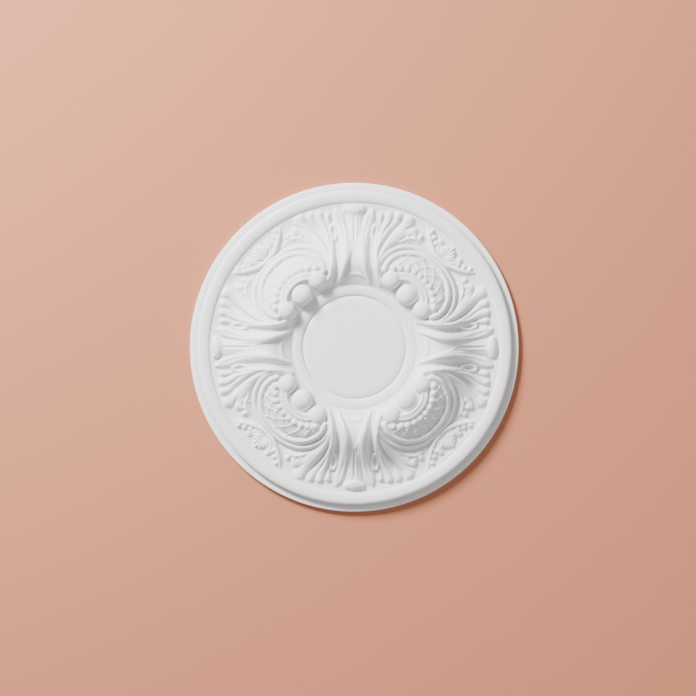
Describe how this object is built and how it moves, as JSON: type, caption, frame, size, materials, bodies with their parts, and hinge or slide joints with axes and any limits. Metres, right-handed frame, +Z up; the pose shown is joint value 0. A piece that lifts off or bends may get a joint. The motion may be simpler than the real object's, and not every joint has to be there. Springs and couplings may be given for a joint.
{
  "type": "ceiling rose",
  "caption": "Round white plaster ceiling rose: plain middle disc in a ring, acanthus fans and beaded lattice cartouches in relief, moulded rim, flat back for fixing to a ceiling.",
  "frame": {"origin": "middle of the flat back face, where the rose is fixed", "axes": "-Y out of the ornament, away from the surface it is fixed to; +Y out of the flat back; +Z up and +X right in the front view. On a ceiling -Y points down"},
  "size_m": [0.47, 0.0503, 0.47],
  "materials": {
    "ceiling_rose": "matt white painted plaster"
  },
  "bodies": {
    "root": {"ceiling_rose": "ceiling_rose"}
  },
  "joints": []
}
